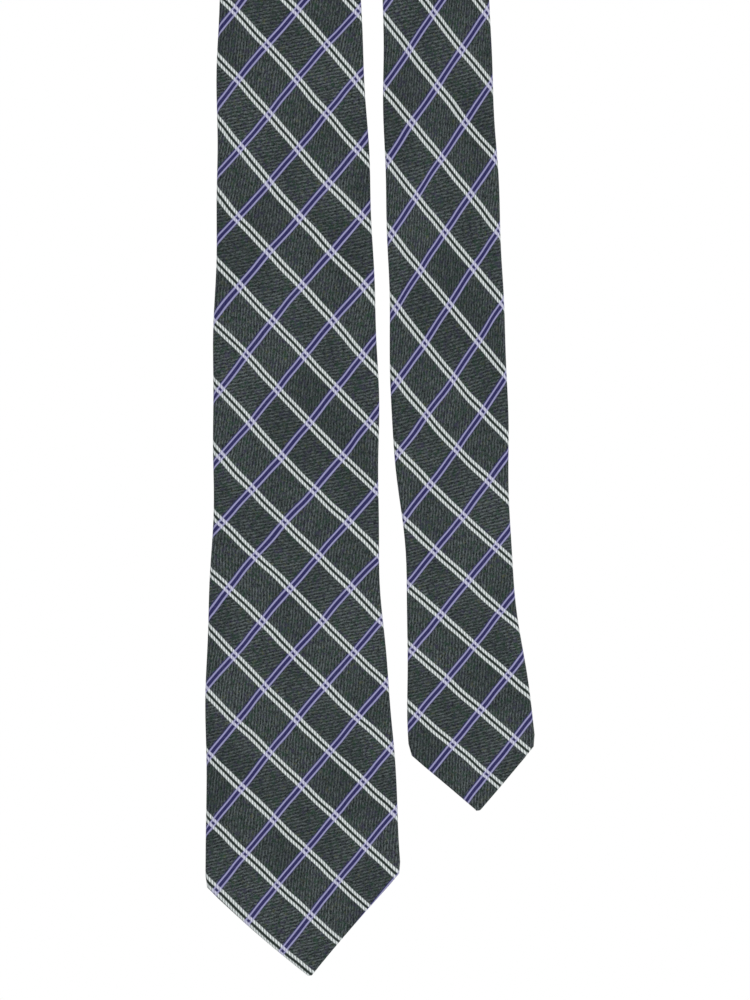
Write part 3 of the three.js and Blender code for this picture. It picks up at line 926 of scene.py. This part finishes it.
def add_floor():
    half, level = 2.0, -1.2
    corners = [(-half, -half, level), (half, -half, level), (half, half, level), (-half, half, level)]
    mesh = bpy.data.meshes.new("floor")
    mesh.from_pydata(corners, [], [(0, 1, 2, 3)])
    mesh.materials.append(floor_material())
    floor = bpy.data.objects.new("floor", mesh)
    bpy.context.scene.collection.objects.link(floor)


def add_light(name, place, size, power, aim):
    lamp = bpy.data.lights.new(name, "AREA")
    lamp.size = size
    lamp.energy = power
    light = bpy.data.objects.new(name, lamp)
    light.location = place
    light.rotation_euler = (Vector(aim) - Vector(place)).to_track_quat("-Z", "Y").to_euler()
    bpy.context.scene.collection.objects.link(light)


def add_camera():
    """In front of the two legs' lower halves, as far back as keeps the view nearly square to the cloth."""
    view_height = 0.42
    distance = 2.5
    middle_x, middle_z = 0.0053, -0.5535
    camera_data = bpy.data.cameras.new("camera")
    camera_data.sensor_fit = "VERTICAL"
    camera_data.lens = camera_data.sensor_height * distance / view_height
    camera = bpy.data.objects.new("camera", camera_data)
    camera.location = (middle_x, -distance, middle_z)
    camera.rotation_euler = (math.pi / 2, 0, 0)
    bpy.context.scene.collection.objects.link(camera)
    bpy.context.scene.camera = camera


def add_world():
    """White light from all round, and colours shown as they are."""
    world = bpy.data.worlds.new("white_studio")
    world.use_nodes = True
    background = world.node_tree.nodes["Background"]
    background.inputs["Color"].default_value = (1, 1, 1, 1)
    background.inputs["Strength"].default_value = 1.0
    bpy.context.scene.world = world
    bpy.context.scene.view_settings.view_transform = "Standard"


# ---------------------------------------------------------------- the tie


def ride(piece, body, node):
    """The piece moves with one body, in place of a CAD node."""
    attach(piece, body)
    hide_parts(node)


def bend(piece, node):
    """The piece keeps the place it was built in, baked into its mesh, in place of a CAD node."""
    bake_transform(piece)
    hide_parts(node)


def build_shells(cloth):
    """The blade and the tail, and the neck in two halves that meet at the top of the peg."""
    blade = shell("blade_cloth", "blade", TIP_START, BLADE_END, cloth, (BLADE_END,))
    neck_on_blade = shell("neck_cloth_blade_side", "neck", NECK_START, PEG_TOP_PLACE, cloth, (NECK_START,))
    neck_on_tail = shell("neck_cloth_tail_side", "neck", PEG_TOP_PLACE, NECK_END, cloth, (NECK_END,))
    tail = shell("tail_cloth", "tail", TAIL_START, TIE_LENGTH - TIP_START, cloth, (TAIL_START,))
    bend(blade, "blade_shell")
    bend(neck_on_blade, "neck_shell")
    bend(neck_on_tail, "neck_shell")
    bend(tail, "tail_shell")


def build_inside(fleece, lining):
    """The wool strip all along the tie, cut like the shells, and the lining of the two points."""
    layer = (EDGE_ROOM, INTERLINING_FRONT, INTERLINING_FRONT + INTERLINING, fleece, "interlining_wool")
    tail_end = TIE_LENGTH - INTERLINING_SETBACK
    blade = slab("blade_fleece", INTERLINING_SETBACK, BLADE_END, "blade_cloth", *layer)
    neck_on_blade = slab("neck_fleece_blade_side", NECK_START, PEG_TOP_PLACE, "neck_cloth_blade_side", *layer)
    neck_on_tail = slab("neck_fleece_tail_side", PEG_TOP_PLACE, NECK_END, "neck_cloth_tail_side", *layer)
    tail = slab("tail_fleece", TAIL_START, tail_end, "tail_cloth", *layer)
    bend(blade, "blade_interlining")
    bend(neck_on_blade, "neck_interlining")
    bend(neck_on_tail, "neck_interlining")
    bend(tail, "tail_interlining")

    layer = (EDGE_ROOM, TIPPING_FRONT, TIPPING_BACK, lining, "tipping_satin", PUCKER)
    blade = slab("blade_lining", TIPPING_SETBACK, BLADE_OPEN_TOP + TIPPING_HIDDEN, "blade_fleece", *layer)
    ride(blade, "blade", "blade_tipping")
    tail_top = TIE_LENGTH - TAIL_OPEN_TOP - TIPPING_HIDDEN
    tail = slab("tail_lining", tail_top, TIE_LENGTH - TIPPING_SETBACK, "tail_fleece", *layer)
    ride(tail, "tail", "tail_tipping")


def build_threads(cotton):
    """The slip stitch along the back, its reserve loop and the two bar tacks that it runs between."""
    blade = slip_stitch("blade_slip_thread", BLADE_OPEN_TOP, BLADE_SEAM_PLACE, cotton)
    neck_on_blade = slip_stitch("neck_slip_thread_blade_side", BLADE_SEAM_PLACE, PEG_TOP_PLACE, cotton)
    neck_on_tail = slip_stitch("neck_slip_thread_tail_side", PEG_TOP_PLACE, TAIL_SEAM_PLACE, cotton)
    tail = slip_stitch("tail_slip_thread", TAIL_SEAM_PLACE, TIE_LENGTH - TAIL_OPEN_TOP, cotton)
    bend(blade, "blade_slip_stitch")
    bend(neck_on_blade, "neck_slip_stitch")
    bend(neck_on_tail, "neck_slip_stitch")
    bend(tail, "tail_slip_stitch")

    ride(reserve_loop(cotton), "blade", "slip_stitch_reserve")
    width, height = BAR_TACK["width"], BAR_TACK["height"]
    tack = zigzag_tack("blade_tack_thread", 0, width, BLADE_OPEN_TOP, height, ON_THE_BACK, cotton)
    ride(tack, "blade", "blade_bar_tack")
    bottom = TIE_LENGTH - TAIL_OPEN_TOP - height
    tack = zigzag_tack("tail_tack_thread", 0, width, bottom, height, ON_THE_BACK, cotton)
    ride(tack, "tail", "tail_bar_tack")


def build_keeper(cloth, cotton):
    """The keeper loop and the tack on each of its feet."""
    ride(keeper_loop(cloth), "blade", "keeper_loop")
    level = ON_THE_BACK + KEEPER["thick"] + GAP / 2
    bottom = KEEPER["place"] - KEEPER["height"] / 2 + KEEPER_TACK["margin"]
    width = KEEPER_TACK["width"]
    height = KEEPER["height"] - 2 * KEEPER_TACK["margin"]
    for name, side in (("left", -1), ("right", 1)):
        middle = side * (KEEPER["end"] - KEEPER_TACK["inset"])
        tack = zigzag_tack(f"keeper_tack_thread_{name}", middle, width, bottom, height, level, cotton)
        ride(tack, "blade", f"keeper_tack_{name}")


def build_labels(woven, care_satin, cotton):
    """The maker's label with a stitch at each end, and the care label with one along its top."""
    half, tall = LABEL["width"] / 2, LABEL["height"] / 2
    bottom, top = LABEL["place"] - tall, LABEL["place"] + tall
    label = flat_patch(
        "maker_label_woven", (-half, half, bottom, top), ON_THE_BACK, LABEL["thick"], woven,
        crown=LABEL["crown"],
    )
    ride(label, "blade", "maker_label")
    level = ON_THE_BACK + LABEL["thick"] + LABEL_STITCH["lift"]
    for name, side in (("left", -1), ("right", 1)):
        x = side * (half - LABEL_STITCH["inset"])
        start, end = (x, bottom + STITCH_END_ROOM), (x, top - STITCH_END_ROOM)
        stitches = running_stitch(f"label_thread_{name}", start, end, level, LABEL_STITCH["pitch"], cotton)
        ride(stitches, "blade", f"label_stitch_{name}")

    top = TIE_LENGTH - CARE["top"]
    half = CARE["width"] / 2
    care = flat_patch(
        "care_label_tab", (-half, half, top, top + CARE["length"]), ON_THE_BACK, CARE["thick"],
        care_satin, curl=CARE["curl"],
    )
    ride(care, "care_tab", "care_label")
    line = top - CARE_STITCH["gap"] - THREAD / 2
    start, end = (-half + STITCH_END_ROOM, line), (half - STITCH_END_ROOM, line)
    stitches = running_stitch("care_label_thread", start, end, ON_THE_BACK, CARE_STITCH["pitch"], cotton)
    ride(stitches, "tail", "care_label_stitch")


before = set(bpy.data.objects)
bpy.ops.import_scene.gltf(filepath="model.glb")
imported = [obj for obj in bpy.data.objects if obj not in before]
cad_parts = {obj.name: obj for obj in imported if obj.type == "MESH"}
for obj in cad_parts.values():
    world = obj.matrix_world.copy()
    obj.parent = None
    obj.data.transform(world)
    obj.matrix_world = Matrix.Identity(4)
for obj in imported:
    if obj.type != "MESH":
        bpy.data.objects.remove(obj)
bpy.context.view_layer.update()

window_cloth = silk()
cotton_thread = sewing_thread()
build_shells(window_cloth)
build_inside(wool(), satin("tipping_satin", linear(24, 26, 34), linear(58, 62, 76), LINING_PITCH, 0.32))
build_threads(cotton_thread)
build_keeper(window_cloth, cotton_thread)
build_labels(
    damask(LABEL["width"] / 2, LABEL["height"] / 2),
    satin("care_satin", linear(206, 206, 200), linear(240, 240, 236), CARE_PITCH, 0.4),
    cotton_thread,
)

add_floor()
add_world()
add_light("key", (0.9, -1.6, -0.8), 1.0, 8, (0, 0, -0.6))
add_light("back", (0.3, 1.8, 0.3), 1.0, 5, (0, 0, -0.4))
add_camera()
